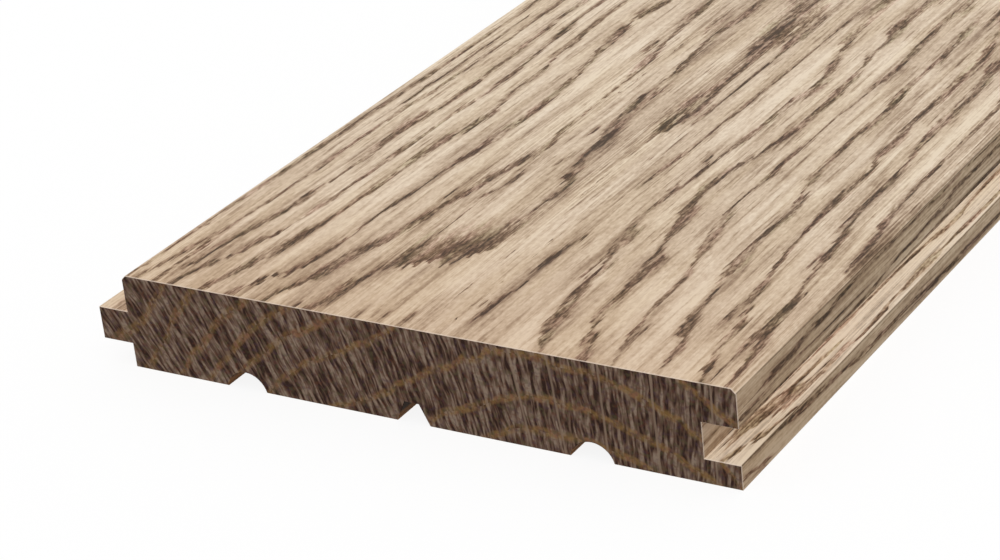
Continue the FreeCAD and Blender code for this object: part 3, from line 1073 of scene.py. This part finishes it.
def new_object(name, data):
    """A new object in the scene, with a mesh, a lamp or a camera as its data."""
    made = bpy.data.objects.new(name, data)
    bpy.context.scene.collection.objects.link(made)
    return made


def add_board():
    """The board's visible piece, in place of the plain solid."""
    board = new_object("oak_board", board_mesh())
    for material in (oak_along_grain(), oak_end_grain(), oak_channel()):
        board.data.materials.append(material)
    brush_face(board)
    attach(board, "root")
    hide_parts(BOARD)


def seen_directly(tree):
    """1 for rays that show the floor or the sky as such, to the camera or in gloss or glass, else 0."""
    node = tree.nodes.new("ShaderNodeLightPath")
    seen = 0
    for name in ("Is Camera Ray", "Is Glossy Ray", "Is Transmission Ray"):
        seen = Field(node.outputs[name]).math("MAXIMUM", seen)
    return seen


def mixed(tree, share, first, second):
    """Shader node that goes from first to second as share goes from 0 to 1."""
    node = tree.nodes.new("ShaderNodeMixShader")
    plug(node.inputs["Fac"], share)
    tree.links.new(first.outputs[0], node.inputs[1])
    tree.links.new(second.outputs[0], node.inputs[2])
    return node


def floor_material():
    """Plain pale paint, white to the camera apart from the board's soft shadow."""
    material = bpy.data.materials.new("floor")
    material.use_nodes = True
    tree = material.node_tree
    tree.nodes.clear()
    pale = tree.nodes.new("ShaderNodeBsdfDiffuse")
    pale.inputs["Color"].default_value = (FLOOR_COLOUR,) * 3 + (1.0,)
    shadowed = tree.nodes.new("ShaderNodeBsdfDiffuse")
    shadowed.inputs["Color"].default_value = (1.0,) * 4
    glow = tree.nodes.new("ShaderNodeEmission")
    seen = mixed(tree, FLOOR_SHADOW, glow, shadowed)
    either = mixed(tree, seen_directly(tree), pale, seen)
    output = tree.nodes.new("ShaderNodeOutputMaterial")
    tree.links.new(either.outputs[0], output.inputs["Surface"])
    return material


def add_floor():
    """A wide plain floor just below the board."""
    half = FLOOR_SIZE / 2
    middle = place(COVER_WIDTH / 2, LENGTH / 2, -FLOOR_GAP)
    mesh = bpy.data.meshes.new("floor")
    square = [(-half, -half), (half, -half), (half, half), (-half, half)]
    mesh.from_pydata([middle + Vector((x, y, 0)) * MM for x, y in square], [], [(0, 1, 2, 3)])
    floor = new_object("floor", mesh)
    mesh.materials.append(floor_material())


def add_light():
    """An even pale sky, white behind the board, and one soft lamp high up on the groove's side."""
    world = bpy.data.worlds.new("studio")
    bpy.context.scene.world = world
    world.use_nodes = True
    tree = world.node_tree
    sky = next(node for node in tree.nodes if node.type == "BACKGROUND")
    sky.inputs["Color"].default_value = (1.0,) * 4
    plug(sky.inputs["Strength"], blend(seen_directly(tree), SKY_STRENGTH, 1.0))
    lamp = bpy.data.lights.new("key", "SUN")
    lamp.energy = KEY_STRENGTH
    lamp.angle = KEY_SPREAD
    lamp.use_shadow = False
    key = new_object("key", lamp)
    key.rotation_euler = Vector(KEY_FROM).to_track_quat("Z", "Y").to_euler()


def add_camera():
    """The camera at the picture's viewing angle."""
    lens = bpy.data.cameras.new("camera")
    lens.lens = CAMERA_LENS
    lens.sensor_fit = "HORIZONTAL"
    lens.sensor_width = CAMERA_SENSOR
    lens.clip_start = CAMERA_NEAREST * MM
    camera = new_object("camera", lens)
    level = math.cos(CAMERA_ELEVATION)
    gaze = Vector((
        -math.sin(CAMERA_AZIMUTH) * level,
        math.cos(CAMERA_AZIMUTH) * level,
        -math.sin(CAMERA_ELEVATION),
    ))
    camera.rotation_mode = "QUATERNION"
    camera.rotation_quaternion = gaze.to_track_quat("-Z", "Y") @ Quaternion((0, 0, 1), CAMERA_ROLL)
    camera.location = place(*CAMERA_PLACE)
    bpy.context.scene.camera = camera


add_board()
add_floor()
add_light()
add_camera()
bpy.context.scene.view_settings.view_transform = "Standard"
